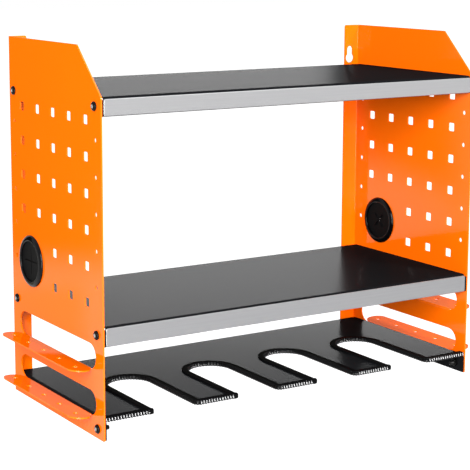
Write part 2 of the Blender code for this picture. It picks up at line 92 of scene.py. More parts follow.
def addNoise(tree, vector, scale, detail, roughness=0.5):
    inputs = {"Vector": vector, "Scale": scale, "Detail": detail, "Roughness": roughness}
    return addNode(tree, "ShaderNodeTexNoise", inputs).outputs["Fac"]


# The Mix node keeps its colours in inputs 6 and 7 and in output 2
def addColourMix(tree, share, first, second):
    return addNode(tree, "ShaderNodeMix", {0: share, 6: first, 7: second}, data_type="RGBA").outputs[2]


def addShaderMix(tree, share, first, second):
    return addNode(tree, "ShaderNodeMixShader", {0: share, 1: first, 2: second}).outputs[0]


# Camera at the photograph's angle
cameraView = {
    "place": (-0.92525, -1.41609, 0.50342),
    "azimuth": math.radians(31.636),
    "downTilt": math.radians(9.199),
    "roll": math.radians(0.057),
    "lens": 113.80,
    "shiftX": 0.0613,
    "shiftY": -0.1,
}


def addCamera(view):
    lens = bpy.data.cameras.new("camera")
    lens.lens = view["lens"]
    lens.shift_x = view["shiftX"]
    lens.shift_y = view["shiftY"]
    camera = addObject("camera", lens)
    turn = Matrix.Rotation(-view["azimuth"], 3, "Z")
    tilt = Matrix.Rotation(math.pi / 2 - view["downTilt"], 3, "X")
    roll = Matrix.Rotation(view["roll"], 3, "Z")
    camera.location = view["place"]
    camera.rotation_euler = (turn @ tilt @ roll).to_euler()
    bpy.context.scene.camera = camera


addCamera(cameraView)
print("camera set")

# Studio: soft boxes, cards, a white surround and a pale floor well below the organizer. A box with "only"
# lights just the pieces named there. A card is seen by reflections alone, and stands across its way: its
# sides are measured from straight ahead, and its bottoms and tops, one for each side, from the organizer's
# foot. The glints light pieces that are made further down, so they are added at the end
studio = {
    "aim": (0.0, 0.0, 0.2),
    "ambient": 0.5,
    "floorDrop": 0.9,
    "floorSize": 60.0,
    "floorColour": (0.86, 0.86, 0.86, 1.0),
    "floorGlow": 0.75,
    "boxes": {
        "keyBox": {"place": (-1.6, -1.9, 1.0), "size": (1.1, 1.1), "power": 95.0},
        "sparkBox": {"place": (0.85, -1.5, 1.7), "size": (0.25, 0.25), "power": 18.0},
        "topBox": {"place": (0.9, -0.2, 2.2), "size": (1.0, 1.0), "power": 5.0},
        "topSheenBox": {
            "place": (1.26, 2.5, 0.745),
            "size": (1.15, 0.3),
            "power": 100.0,
            "only": ("top_shelf",),
        },
        "middleSheenBox": {
            "place": (1.38, 2.43, 0.745),
            "size": (1.15, 0.3),
            "power": 125.0,
            "only": ("middle_shelf",),
        },
        "rackSheenBox": {
            "place": (1.5, 2.46, 0.63),
            "size": (1.9, 0.26),
            "power": 164.0,
            "only": ("tool_rack",),
        },
        "frontBox": {
            "place": (-0.2, -2.6, 0.6),
            "size": (0.9, 0.9),
            "power": 58.0,
            "only": ("left_side_panel", "right_side_panel"),
        },
        "leftTopBox": {
            "place": (-1.0, -0.3, 2.0),
            "size": (0.7, 0.7),
            "power": 10.0,
            "only": ("left_side_panel",),
        },
    },
    "glints": {
        "glintBox": {
            "place": (1.2, -1.9, 0.27),
            "size": (1.3, 0.45),
            "power": 360.0,
            "only": ("trimRibs", "panelScrews", "leftOuterRing", "rightInnerRing"),
        },
    },
    "cards": {
        "leftCard": {
            "distance": 3.406,
            "across": (0.45, 1.3),
            "bottoms": (-0.61, -0.61),
            "tops": (2.0, 2.0),
            "softBottom": 0.12,
            "level": (0.02, 0.02, 0.02),
        },
        "leftLowCard": {
            "distance": 2.384,
            "across": (0.31, 1.1),
            "bottoms": (-0.89, -0.89),
            "tops": (-0.33, -0.33),
            "softTop": 0.08,
            "level": (0.8, 0.7, 0.5),
        },
        "rightCard": {
            "distance": 3.406,
            "across": (0.0, 0.45),
            "bottoms": (-0.46, -0.30),
            "tops": (2.0, 2.0),
            "softBottom": 0.12,
            "softSide": 0.1,
            "level": (0.02, 0.02, 0.02),
        },
        "rightLowCard": {
            "distance": 3.406,
            "across": (0.0, 0.45),
            "bottoms": (-0.89, -0.89),
            "tops": (-0.505, -0.59),
            "softTop": 0.01,
            "softSide": 0.06,
            "level": (0.05, 0.05, 0.05),
        },
        "rightGlowCard": {
            "distance": 3.5,
            "across": (0.06, 0.45),
            "bottoms": (-0.89, -0.89),
            "tops": (0.2, 0.2),
            "softSide": 0.1,
            "level": (1.75, 1.75, 1.55),
        },
        "bendCard": {
            "way": (-1.6, -1.9),
            "distance": 2.5,
            "across": (-0.8, 0.8),
            "bottoms": (-0.7, -0.7),
            "tops": (0.3, 0.3),
            "level": (12.0, 12.0, 11.0),
        },
        "backCard": {
            "way": (2.0, 3.3),
            "distance": 3.86,
            "across": (-1.9, 1.9),
            "bottoms": (0.0, 0.0),
            "tops": (1.9, 1.9),
            "level": (0.42, 0.4, 0.34),
        },
    },
    "cardWay": (-2.2, 2.6),
}


def addSoftBox(name, place, size, power, only=()):
    light = bpy.data.lights.new(name, "AREA")
    light.shape = "RECTANGLE"
    light.size, light.size_y = size
    light.energy = power
    box = addObject(name, light)
    box.location = place
    box.rotation_euler = (Vector(studio["aim"]) - Vector(place)).to_track_quat("-Z", "Y").to_euler()
    box.visible_camera = False
    if only:
        lit = bpy.data.collections.new(name + "Lit")
        for litName in only:
            lit.objects.link(nodes[litName] if litName in nodes else bpy.data.objects[litName])
        box.light_linking.receiver_collection = lit


# A sheet whose cover is 1, and falls to 0 over each soft width at its bottom, top or first side
def cardMesh(name, distance, across, bottoms, tops, softBottom=0.0, softTop=0.0, softSide=0.0, way=None):
    away = Vector((*(way or studio["cardWay"]), 0.0)).normalized()
    along = Vector((away.y, -away.x, 0.0))
    columns = [(0.0, 0.0 if softSide else 1.0)]
    if softSide:
        columns.append((softSide / (across[1] - across[0]), 1.0))
    columns.append((1.0, 1.0))
    rows = [(bottoms, 0.0, 0.0 if softBottom else 1.0)]
    if softBottom:
        rows.append((bottoms, softBottom, 1.0))
    if softTop:
        rows.append((tops, -softTop, 1.0))
    rows.append((tops, 0.0, 0.0 if softTop else 1.0))
    corners, covers = [], []
    for heights, shift, rowCover in rows:
        for share, columnCover in columns:
            side = across[0] + (across[1] - across[0]) * share
            height = heights[0] + (heights[1] - heights[0]) * share + shift
            corners.append(away * distance + along * side + Vector((0.0, 0.0, height)))
            covers.append(rowCover * columnCover)
    wide = len(columns)
    starts = [wide * i + j for i in range(len(rows) - 1) for j in range(wide - 1)]
    faces = [(start, start + 1, start + 1 + wide, start + wide) for start in starts]
    data = bpy.data.meshes.new(name)
    data.from_pydata(corners, [], faces)
    cover = data.attributes.new("cover", "FLOAT", "POINT")
    for i, value in enumerate(covers):
        cover.data[i].value = value
    return data


def cardCloth(name, level):
    cloth = bpy.data.materials.new(name)
    tree = emptyTree(cloth)
    cloth.cycles.emission_sampling = "NONE"
    cover = addNode(tree, "ShaderNodeAttribute", attribute_name="cover").outputs["Fac"]
    clear = addNode(tree, "ShaderNodeBsdfTransparent").outputs[0]
    glow = addNode(tree, "ShaderNodeEmission", {"Color": (*level, 1.0)}).outputs[0]
    addNode(tree, "ShaderNodeOutputMaterial", {"Surface": addShaderMix(tree, cover, clear, glow)})
    return cloth


def addCard(name, level, **outline):
    data = cardMesh(name, **outline)
    data.materials.append(cardCloth(name + "Cloth", level))
    card = addObject(name, data)
    card.visible_camera = False
    card.visible_diffuse = False
    card.visible_shadow = False
    card.visible_transmission = False


# 1 for the rays that show the background, 0 for those that gather light from it
def showsBackground(tree):
    rays = tree.nodes.new("ShaderNodeLightPath").outputs
    seen = addMath(tree, "MAXIMUM", rays["Is Camera Ray"], rays["Is Glossy Ray"])
    return addMath(tree, "MAXIMUM", seen, rays["Is Transmission Ray"])


def addBackground(tree, strength):
    inputs = {"Color": (1.0, 1.0, 1.0, 1.0), "Strength": strength}
    return addNode(tree, "ShaderNodeBackground", inputs).outputs[0]


def whiteSurround(ambient):
    world = bpy.data.worlds.new("surround")
    tree = emptyTree(world)
    fill, seen = addBackground(tree, ambient), addBackground(tree, 1.0)
    addNode(tree, "ShaderNodeOutputWorld", {"Surface": addShaderMix(tree, showsBackground(tree), fill, seen)})
    bpy.context.scene.world = world


def floorFinish():
    made = bpy.data.materials.new("paleFloor")
    tree = emptyTree(made)
    matt = addNode(tree, "ShaderNodeBsdfDiffuse", {"Color": studio["floorColour"]}).outputs[0]
    glow = addNode(tree, "ShaderNodeEmission", {"Strength": studio["floorGlow"]}).outputs[0]
    lit = addNode(tree, "ShaderNodeAddShader", {0: matt, 1: glow}).outputs[0]
    shown = addShaderMix(tree, showsBackground(tree), matt, lit)
    addNode(tree, "ShaderNodeOutputMaterial", {"Surface": shown})
    return made


def paleFloor():
    half = studio["floorSize"] / 2
    drop = -studio["floorDrop"]
    data = bpy.data.meshes.new("floor")
    corners = [(-half, -half, drop), (half, -half, drop), (half, half, drop), (-half, half, drop)]
    data.from_pydata(corners, [], [(0, 1, 2, 3)])
    data.materials.append(floorFinish())
    floor = addObject("floor", data)


for boxName, box in studio["boxes"].items():
    addSoftBox(boxName, **box)
for cardName, card in studio["cards"].items():
    addCard(cardName, **card)
whiteSurround(studio["ambient"])
paleFloor()
bpy.context.scene.view_settings.view_transform = "Standard"
print("studio set")

# Surface effects that several finishes share, as shader node groups
noiseMiddle = 0.5
effectOutputs = [
    ("Colour", "NodeSocketColor"),
    ("Roughness", "NodeSocketFloat"),
    ("Height", "NodeSocketFloat"),
]


# A finish's roughness, more where the pattern is above its middle and less where it is below
def variedRoughness(group, given, pattern):
    centred = addMath(group, "SUBTRACT", pattern, noiseMiddle)
    spread = addMath(group, "MULTIPLY", centred, given.outputs["Roughness Spread"])
    return addMath(group, "ADD", spread, given.outputs["Roughness"])


# Sprayed and baked coat: orange peel, faint mottle, and a fine speckle
coatNoise = {
    "mottle": {"scale": 14.0, "detail": 3.0},
    "peel": {"detail": 1.0},
    "speckle": {"detail": 2.0, "roughness": 0.6},
}


def coatGroup():
    group, given, out = newTree(
        "sprayedCoat",
        "ShaderNodeTree",
        [
            ("Vector", "NodeSocketVector", None),
            ("Colour", "NodeSocketColor", (1.0, 0.2, 0.01, 1.0)),
            ("Shade", "NodeSocketColor", (0.9, 0.15, 0.005, 1.0)),
            ("Mottle", "NodeSocketFloat", 0.3),
            ("Peel Scale", "NodeSocketFloat", 450.0),
            ("Speckle Scale", "NodeSocketFloat", 2200.0),
            ("Speckle", "NodeSocketFloat", 0.2),
            ("Roughness", "NodeSocketFloat", 0.3),
            ("Roughness Spread", "NodeSocketFloat", 0.08),
        ],
        effectOutputs,
    )
    place = given.outputs["Vector"]
    mottle = addNoise(group, place, **coatNoise["mottle"])
    peel = addNoise(group, place, given.outputs["Peel Scale"], **coatNoise["peel"])
    speckle = addNoise(group, place, given.outputs["Speckle Scale"], **coatNoise["speckle"])
    share = addMath(group, "MULTIPLY", mottle, given.outputs["Mottle"])
    fine = addMath(group, "MULTIPLY", speckle, given.outputs["Speckle"])
    shaded = addColourMix(group, share, given.outputs["Colour"], given.outputs["Shade"])
    feed(group, shaded, out.inputs["Colour"])
    feed(group, variedRoughness(group, given, mottle), out.inputs["Roughness"])
    feed(group, addMath(group, "ADD", peel, fine), out.inputs["Height"])
    return group


# Fine parallel scratches; the vector is stretched along the brushing by a Mapping node outside
brushNoise = {
    "coarse": {"scale": 1.0, "detail": 4.0, "roughness": 0.7},
    "fine": {"scale": 3.7, "detail": 3.0, "roughness": 0.6},
}


def brushGroup():
    group, given, out = newTree(
        "brushedLines",
        "ShaderNodeTree",
        [
            ("Vector", "NodeSocketVector", None),
            ("Colour", "NodeSocketColor", (0.7, 0.7, 0.7, 1.0)),
            ("Line Colour", "NodeSocketColor", (0.5, 0.5, 0.5, 1.0)),
            ("Depth", "NodeSocketFloat", 0.5),
            ("Roughness", "NodeSocketFloat", 0.3),
            ("Roughness Spread", "NodeSocketFloat", 0.15),
        ],
        effectOutputs,
    )
    coarse, fine = (addNoise(group, given.outputs["Vector"], **brushNoise[key]) for key in ("coarse", "fine"))
    lines = addMath(group, "MULTIPLY", addMath(group, "ADD", coarse, fine), 0.5)  # the mean of the two
    share = addMath(group, "MULTIPLY", lines, given.outputs["Depth"])
    shaded = addColourMix(group, share, given.outputs["Colour"], given.outputs["Line Colour"])
    feed(group, shaded, out.inputs["Colour"])
    feed(group, variedRoughness(group, given, lines), out.inputs["Roughness"])
    feed(group, lines, out.inputs["Height"])
    return group


coatEffect = coatGroup()
brushEffect = brushGroup()


# Finishes
def finish(name, group, values, bump, metallic=0.0, specular=0.5, stretch=None, coat=0.0, coatRoughness=0.1):
    made = bpy.data.materials.new(name)
    made.use_nodes = True
    tree = made.node_tree
    place = tree.nodes.new("ShaderNodeTexCoord").outputs["Object"]
    if stretch:
        place = addNode(tree, "ShaderNodeMapping", {"Vector": place, "Scale": stretch}).outputs["Vector"]
    effect = addNode(tree, "ShaderNodeGroup", {"Vector": place, **values}, node_tree=group)
    height = effect.outputs["Height"]
    relief = {"Strength": bump["strength"], "Distance": bump["depth"], "Height": height}
    sockets = {
        "Base Color": effect.outputs["Colour"],
        "Roughness": effect.outputs["Roughness"],
        "Normal": addNode(tree, "ShaderNodeBump", relief).outputs["Normal"],
        "Metallic": metallic,
        "Specular IOR Level": specular,
        "Coat Weight": coat,
        "Coat Roughness": coatRoughness,
    }
    shader = tree.nodes["Principled BSDF"]
    for socketName, value in sockets.items():
        feed(tree, value, shader.inputs[socketName])
    return made


# The trays and the rack: nearly black and nearly without gloss, so their grey is what the sheen boxes give
def blackCoat(coatRoughness):
    return dict(
        group=coatEffect,
        values={
            "Colour": (0.0075, 0.008, 0.009, 1.0),
            "Shade": (0.0105, 0.011, 0.012, 1.0),
            "Mottle": 0.6,
            "Peel Scale": 700.0,
            "Speckle": 0.5,
            "Roughness": 0.5,
            "Roughness Spread": 0.08,
        },
        bump={"strength": 0.12, "depth": 0.0003},
        specular=0.0,
        coat=0.016,
        coatRoughness=coatRoughness,
    )


# The two front strips, brushed along their length. The middle strip's colour is the top strip's made darker:
# painted shade
def stripMetal(colour, lineColour):
    return dict(
        group=brushEffect,
        values={
            "Colour": colour,
            "Line Colour": lineColour,
            "Depth": 0.8,
            "Roughness": 0.36,
            "Roughness Spread": 0.2,
        },
        bump={"strength": 0.2, "depth": 0.0002},
        metallic=1.0,
        stretch=(6.0, 900.0, 900.0),
    )


finishes = {
    "orangeCoat": dict(
        group=coatEffect,
        values={
            "Colour": (1.0, 0.150, 0.0010, 1.0),
            "Shade": (0.95, 0.130, 0.0007, 1.0),
            "Mottle": 0.3,
            "Roughness": 0.06,
            "Roughness Spread": 0.02,
        },
        bump={"strength": 0.04, "depth": 0.0004},
        specular=0.22,
    ),
    "shelfCoat": blackCoat(coatRoughness=0.28),
    "rackCoat": blackCoat(coatRoughness=0.23),
    "topStripMetal": stripMetal(colour=(0.50, 0.50, 0.51, 1.0), lineColour=(0.36, 0.36, 0.37, 1.0)),
    # Painted shade: the middle strip is the same metal as the top one, given a darker colour
    "middleStripMetal": stripMetal(colour=(0.385, 0.385, 0.395, 1.0), lineColour=(0.27, 0.27, 0.28, 1.0)),
    "trimRubber": dict(
        group=coatEffect,
        values={
            "Colour": (0.003, 0.003, 0.0034, 1.0),
            "Shade": (0.007, 0.007, 0.0075, 1.0),
            "Mottle": 0.5,
            "Peel Scale": 900.0,
            "Speckle": 0.4,
            "Roughness": 0.5,
            "Roughness Spread": 0.1,
        },
        bump={"strength": 0.2, "depth": 0.0003},
        specular=0.0,
        coat=0.05,
        coatRoughness=0.15,
    ),
    "ribRubber": dict(
        group=coatEffect,
        values={
            "Colour": (0.003, 0.003, 0.0034, 1.0),
            "Shade": (0.007, 0.007, 0.0075, 1.0),
            "Mottle": 0.5,
            "Peel Scale": 900.0,
            "Speckle": 0.3,
            "Roughness": 0.14,
            "Roughness Spread": 0.06,
        },
        bump={"strength": 0.1, "depth": 0.0002},
        specular=0.15,
    ),
    "blackZinc": dict(
        group=coatEffect,
        values={
            "Colour": (0.003, 0.003, 0.0034, 1.0),
            "Shade": (0.008, 0.0075, 0.007, 1.0),
            "Mottle": 0.6,
            "Peel Scale": 1500.0,
            "Speckle": 0.5,
            "Roughness": 0.2,
            "Roughness Spread": 0.12,
        },
        bump={"strength": 0.15, "depth": 0.0002},
        specular=0.08,
    ),
    # A painted glint: the light grey that the black screws' sockets are given, in place of a highlight
    "socketZinc": dict(
        group=coatEffect,
        values={
            "Colour": (0.42, 0.41, 0.40, 1.0),
            "Shade": (0.28, 0.27, 0.26, 1.0),
            "Mottle": 0.6,
            "Peel Scale": 1500.0,
            "Speckle": 0.5,
            "Roughness": 0.5,
            "Roughness Spread": 0.12,
        },
        bump={"strength": 0.15, "depth": 0.0002},
        metallic=0.2,
    ),
    "grommetPlastic": dict(
        group=coatEffect,
        values={
            "Colour": (0.002, 0.002, 0.0025, 1.0),
            "Shade": (0.004, 0.004, 0.0045, 1.0),
            "Mottle": 0.4,
            "Peel Scale": 500.0,
            "Roughness": 0.1,
            "Roughness Spread": 0.05,
        },
        bump={"strength": 0.06, "depth": 0.0003},
        specular=0.12,
    ),
    "membraneRubber": dict(
        group=coatEffect,
        values={
            "Colour": (0.003, 0.003, 0.0034, 1.0),
            "Shade": (0.0055, 0.0055, 0.0055, 1.0),
            "Mottle": 0.6,
            "Peel Scale": 900.0,
            "Speckle": 0.7,
            "Roughness": 0.5,
            "Roughness Spread": 0.12,
        },
        bump={"strength": 0.2, "depth": 0.0003},
        specular=0.03,
    ),
}
finished = {name: finish(name, **recipe) for name, recipe in finishes.items()}

nodeFinish = {
    "left_side_panel": "orangeCoat",
    "right_side_panel": "orangeCoat",
    "top_shelf": "shelfCoat",
    "middle_shelf": "shelfCoat",
    "tool_rack": "rackCoat",
    "top_shelf_front_strip": "topStripMetal",
    "middle_shelf_front_strip": "middleStripMetal",
    "rack_edge_trim": "trimRubber",
}
for nodeName, chosen in nodeFinish.items():
    for slotPlace in nodes[nodeName].material_slots:
        slotPlace.material = finished[chosen]
print("finishes set:", len(finished))


# Shapes turned about the X axis: each loop is a place along X and a radius, which a function of the angle
# gives where the loop is a hexagon
def hexagon(acrossFlats, largest=1.0):
    def radiusAt(angle):
        offset = (angle + math.pi / 6) % (math.pi / 3) - math.pi / 6
        return min(acrossFlats / 2 / math.cos(offset), largest)

    return radiusAt


def meshFromForm(name, form, smoothAngle):
    bmesh.ops.recalc_face_normals(form, faces=form.faces)
    mesh = bpy.data.meshes.new(name)
    form.to_mesh(mesh)
    form.free()
    mesh.shade_smooth()
    mesh.set_sharp_from_angle(angle=smoothAngle)
    return mesh


def turnedMesh(name, loops, sides, smoothAngle, closedRound=False):
    form = bmesh.new()
    rings = []
    for along, radius in loops:
        if radius == 0.0:
            rings.append([form.verts.new((along, 0.0, 0.0))] * sides)
            continue
        ring = []
        for i in range(sides):
            angle = 2 * math.pi * i / sides
            r = radius(angle) if callable(radius) else radius
            ring.append(form.verts.new((along, r * math.cos(angle), r * math.sin(angle))))
        rings.append(ring)
    nextRings = rings[1:] + rings[:1] if closedRound else rings[1:]
    for first, second in zip(rings, nextRings):
        for i in range(sides):
            j = (i + 1) % sides
            corners = list(dict.fromkeys((first[i], first[j], second[j], second[i])))
            form.faces.new(corners)
    return meshFromForm(name, form, smoothAngle)


def boxOf(nodeName):
    return [Vector(corner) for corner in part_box(nodeName)]


def addPiece(name, mesh, nodeNames):
    piece = addObject(name, mesh)
    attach(piece, "root")
    if nodeNames:
        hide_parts(*nodeNames)


# Geometry Nodes: one part on each point, made real, with its material
def setMaterial(tree, geometry, material, selection=True):
    inputs = {"Geometry": geometry, "Material": material, "Selection": selection}
    return addNode(tree, "GeometryNodeSetMaterial", inputs).outputs["Geometry"]


def partsOnPoints(tree, given, points, rotation):
    part = addNode(tree, "GeometryNodeObjectInfo", {"Object": given.outputs["Part"]}).outputs["Geometry"]
    inputs = {"Points": points, "Instance": part, "Rotation": rotation}
    placed = addNode(tree, "GeometryNodeInstanceOnPoints", inputs).outputs["Instances"]
    real = addNode(tree, "GeometryNodeRealizeInstances", {"Geometry": placed}).outputs["Geometry"]
    return setMaterial(tree, real, given.outputs["Material"])


def namedAttribute(tree, name, kind):
    inputs = {"Name": name}
    return addNode(tree, "GeometryNodeInputNamedAttribute", inputs, data_type=kind).outputs["Attribute"]


# The part's X axis follows the point's outward attribute, and its turn about that axis is random
def fastenerTree():
    tree, given, out = newTree(
        "fastenersOnPoints",
        "GeometryNodeTree",
        [
            ("Geometry", "NodeSocketGeometry", None),
            ("Part", "NodeSocketObject", None),
            ("Material", "NodeSocketMaterial", None),
            ("Socket Material", "NodeSocketMaterial", None),
            ("Seed", "NodeSocketInt", 0),
        ],
        [("Geometry", "NodeSocketGeometry")],
    )
    outward = namedAttribute(tree, "outward", "FLOAT_VECTOR")
    aligned = addNode(tree, "FunctionNodeAlignRotationToVector", {"Vector": outward}, axis="X")
    limits = {"Min": (0.0, 0.0, 0.0), "Max": (2 * math.pi, 0.0, 0.0), "Seed": given.outputs["Seed"]}
    chance = addNode(tree, "FunctionNodeRandomValue", limits, data_type="FLOAT_VECTOR")
    turn = addNode(tree, "FunctionNodeEulerToRotation", {"Euler": chance.outputs["Value"]})
    turns = {"Rotation": aligned.outputs["Rotation"], "Rotate By": turn.outputs["Rotation"]}
    turned = addNode(tree, "FunctionNodeRotateRotation", turns, rotation_space="LOCAL")
    dressed = partsOnPoints(tree, given, given.outputs["Geometry"], turned.outputs["Rotation"])
    # The faces in the socket get the light grey of the painted glint
    inSocket = namedAttribute(tree, "inSocket", "BOOLEAN")
    dressed = setMaterial(tree, dressed, given.outputs["Socket Material"], inSocket)
    feed(tree, dressed, out.inputs["Geometry"])
    return tree


# The part's X axis follows the path, with a part at every step of the pitch
def ribTree():
    tree, given, out = newTree(
        "ribsAlongPath",
        "GeometryNodeTree",
        [
            ("Geometry", "NodeSocketGeometry", None),
            ("Part", "NodeSocketObject", None),
            ("Material", "NodeSocketMaterial", None),
            ("Pitch", "NodeSocketFloat", None),
        ],
        [("Geometry", "NodeSocketGeometry")],
    )
    path = {"Curve": given.outputs["Geometry"], "Length": given.outputs["Pitch"]}
    marks = addNode(tree, "GeometryNodeCurveToPoints", path, mode="LENGTH").outputs
    facing = {"Vector": marks["Tangent"]}
    aligned = addNode(tree, "FunctionNodeAlignRotationToVector", facing, axis="X", pivot_axis="Z")
    dressed = partsOnPoints(tree, given, marks["Points"], aligned.outputs["Rotation"])
    feed(tree, dressed, out.inputs["Geometry"])
    return tree


# Runs the tree on host data and gives the result as a plain mesh
def grownMesh(name, hostData, partMesh, tree, values):
    host = addObject(name + "Host", hostData)
    part = addObject(name + "Part", partMesh)
    modifier = host.modifiers.new(name, "NODES")
    modifier.node_group = tree
    wanted = {**values, "Part": part}
    for item in tree.interface.items_tree:
        if item.in_out == "INPUT" and item.name in wanted:
            modifier[item.identifier] = wanted[item.name]
    seen = host.evaluated_get(bpy.context.evaluated_depsgraph_get())
    mesh = bpy.data.meshes.new_from_object(seen)
    mesh.name = name
    host.modifiers.remove(modifier)
    bpy.data.objects.remove(host)
    bpy.data.objects.remove(part)
    return mesh


fastenersOnPoints = fastenerTree()
ribsAlongPath = ribTree()

# Button-head screws with a hexagon socket and a rolled thread; the head's seat is at the part's origin. The
# socket's faces are marked for a light grey that is a painted glint
screw = {
    "headRadius": 0.0050,
    "headHeight": 0.0026,
    "seatShare": 0.97,  # of the head's radius
    "domeFoot": 0.15,  # of the head's height
    "socketMouth": 0.93,  # of the head's height
    "mouthShare": 1.3,  # the flat round the socket, against half the socket's width
    "socketAcross": 0.0032,
    "socketDepth": 0.0016,
    "drillDepth": 0.0004,
    "threadRadius": 0.0025,
    "tipShare": 0.8,  # of the thread's radius
    "threadDepth": 0.0003,
    "threadPitch": 0.0008,
    "length": 0.0128,
    "plainLength": 0.0020,
    "margin": 0.00005,
    "domeSteps": 7,
    "sides": 48,
    "smoothAngle": math.radians(38),
    "seed": 4,
}


def screwLoops(socket, floorPlace):
    height, radius, thread = screw["headHeight"], screw["headRadius"], screw["threadRadius"]
    loops = [(-screw["length"], 0.0), (-screw["length"], thread * screw["tipShare"])]
    along = -screw["length"] + screw["threadPitch"] / 2
    while along < -screw["plainLength"]:
        loops.append((along, thread))
        loops.append((along + screw["threadPitch"] / 2, thread - screw["threadDepth"]))
        along += screw["threadPitch"]
    loops += [(-screw["plainLength"] / 2, thread), (0.0, thread), (0.0, radius * screw["seatShare"])]
    mouth = screw["socketAcross"] / 2 * screw["mouthShare"] / radius
    for i in range(screw["domeSteps"] + 1):
        angle = (math.pi / 2) * i / screw["domeSteps"]
        rise = screw["domeFoot"] + (1 - screw["domeFoot"]) * math.sin(angle)
        loops.append((height * rise, radius * (mouth + (1 - mouth) * math.cos(angle))))
    return loops + [
        (height * screw["socketMouth"], socket),
        (floorPlace, socket),
        (floorPlace - screw["drillDepth"], 0.0),
    ]


def screwMesh():
    floorPlace = screw["headHeight"] - screw["socketDepth"]
    loops = screwLoops(hexagon(screw["socketAcross"]), floorPlace)
    mesh = turnedMesh("screwPart", loops, screw["sides"], screw["smoothAngle"])
    inSocket = mesh.attributes.new("inSocket", "BOOLEAN", "FACE")
    deepest = floorPlace - screw["drillDepth"] - screw["margin"]
    widest = screw["socketAcross"] / 2 / math.cos(math.pi / 6) + screw["margin"]
    for face in mesh.polygons:
        middle = face.center
        inSocket.data[face.index].value = middle.x > deepest and math.hypot(middle.y, middle.z) < widest
    return mesh


# Hexagon nuts with chamfered corners
nut = {
    "across": 0.0080,
    "height": 0.0040,
    "bore": 0.00253,
    "chamfer": 0.0004,
    "endShare": 1.02,  # the round of each end, against half the width across the flats
    "sides": 48,
    "smoothAngle": math.radians(25),
    "seed": 9,
}


def nutMesh():
    full = hexagon(nut["across"])
    trimmed = hexagon(nut["across"], nut["across"] / 2 * nut["endShare"])
    height, chamfer, bore = nut["height"], nut["chamfer"], nut["bore"]
    loops = [
        (0.0, trimmed),
        (chamfer, full),
        (height - chamfer, full),
        (height, trimmed),
        (height, bore + chamfer),
        (height - chamfer, bore),
        (chamfer, bore),
        (0.0, bore + chamfer),
    ]
    return turnedMesh("nutPart", loops, nut["sides"], nut["smoothAngle"], closedRound=True)


# Points at the seats of one kind of fastener, with the way each one faces
def seatPoints(name, kind, seatDepth, facesOut):
    fasteners = [nodeName for nodeName in nodes if nodeName.endswith(kind)]
    places, ways = [], []
    for nodeName in fasteners:
        low, high = boxOf(nodeName)
        middle = (low + high) / 2
        side = -1.0 if middle.x < 0 else 1.0
        way = side if facesOut else -side
        tip = high.x if way > 0 else low.x
        places.append((tip - way * seatDepth, middle.y, middle.z))
        ways.append((way, 0.0, 0.0))
    mesh = bpy.data.meshes.new(name)
    mesh.from_pydata(places, [], [])
    outward = mesh.attributes.new("outward", "FLOAT_VECTOR", "POINT")
    for i, way in enumerate(ways):
        outward.data[i].vector = way
    return mesh, fasteners


def addFasteners(name, kind, partMesh, seatDepth, facesOut, seed):
    points, fasteners = seatPoints(name + "Seats", kind, seatDepth, facesOut)
    values = {"Material": finished["blackZinc"], "Socket Material": finished["socketZinc"], "Seed": seed}
    mesh = grownMesh(name, points, partMesh, fastenersOnPoints, values)
    addPiece(name, mesh, fasteners)
    print(name, "set:", len(fasteners))


addFasteners("panelScrews", "_screw", screwMesh(), screw["headHeight"], True, screw["seed"])
addFasteners("lockNuts", "_nut", nutMesh(), nut["height"], False, nut["seed"])

# Cable grommets: a domed rim with a coned throat, and a dished membrane slit into four flaps
grommet = {
    "rimRadius": 0.0290,
    "rimHeight": 0.0036,
    "rimFoot": 0.0001,
    "footInset": 0.0006,
    "domeFoot": 0.0004,
    "crownShare": 0.8,  # of the rim's width, measured from outside
    "throatTop": 0.0024,
    "throatEdge": 0.0022,
    "throatRadius": 0.0226,
    "barrelRadius": 0.0249,
    "barrelDepth": 0.0007,
    "domeSteps": 8,
    "sides": 96,
    "membraneRadius": 0.0225,
    "membraneTop": 0.0005,
    "membraneThickness": 0.0008,
    "dish": 0.0005,
    "slits": {
        "left": {"slitTurn": 0.0, "flapRadius": 0.0165, "slitHalf": 0.0006, "slitLip": 0.0},
        "right": {"slitTurn": math.radians(45), "flapRadius": 0.0115, "slitHalf": 0.0005, "slitLip": 0.0007},
    },
    "tipShare": 1.45,  # of half the slit's width: further in, the slits would take the whole flap
    "flapSteps": 14,
    "flapRings": 8,
    "outerRings": 10,
    "weld": 0.00001,
    "smoothAngle": math.radians(40),
}


def grommetRingMesh(name):
    rim, height, throat = grommet["rimRadius"], grommet["rimHeight"], grommet["throatRadius"]
    foot, depth, steps = grommet["domeFoot"], grommet["barrelDepth"], grommet["domeSteps"]
    crown = rim - grommet["crownShare"] * (rim - throat)
    loops = [(grommet["rimFoot"], rim - grommet["footInset"])]
    for i in range(steps + 1):
        angle = math.pi / 2 * i / steps
        loops.append((foot + (height - foot) * math.sin(angle), crown + (rim - crown) * math.cos(angle)))
    for i in range(1, steps):
        angle = math.pi / 2 * i / steps
        drop = (height - grommet["throatTop"]) * (1 - math.cos(angle))
        loops.append((height - drop, crown - (crown - throat) * math.sin(angle)))
    loops += [
        (grommet["throatEdge"], throat),
        (-depth, throat),
        (-depth, grommet["barrelRadius"]),
        (grommet["rimFoot"], grommet["barrelRadius"]),
    ]
    return turnedMesh(name, loops, grommet["sides"], grommet["smoothAngle"], closedRound=True)


def membraneHeight(radius):
    share = radius / grommet["membraneRadius"]
    return grommet["membraneTop"] - grommet["dish"] * (1 - share**2)


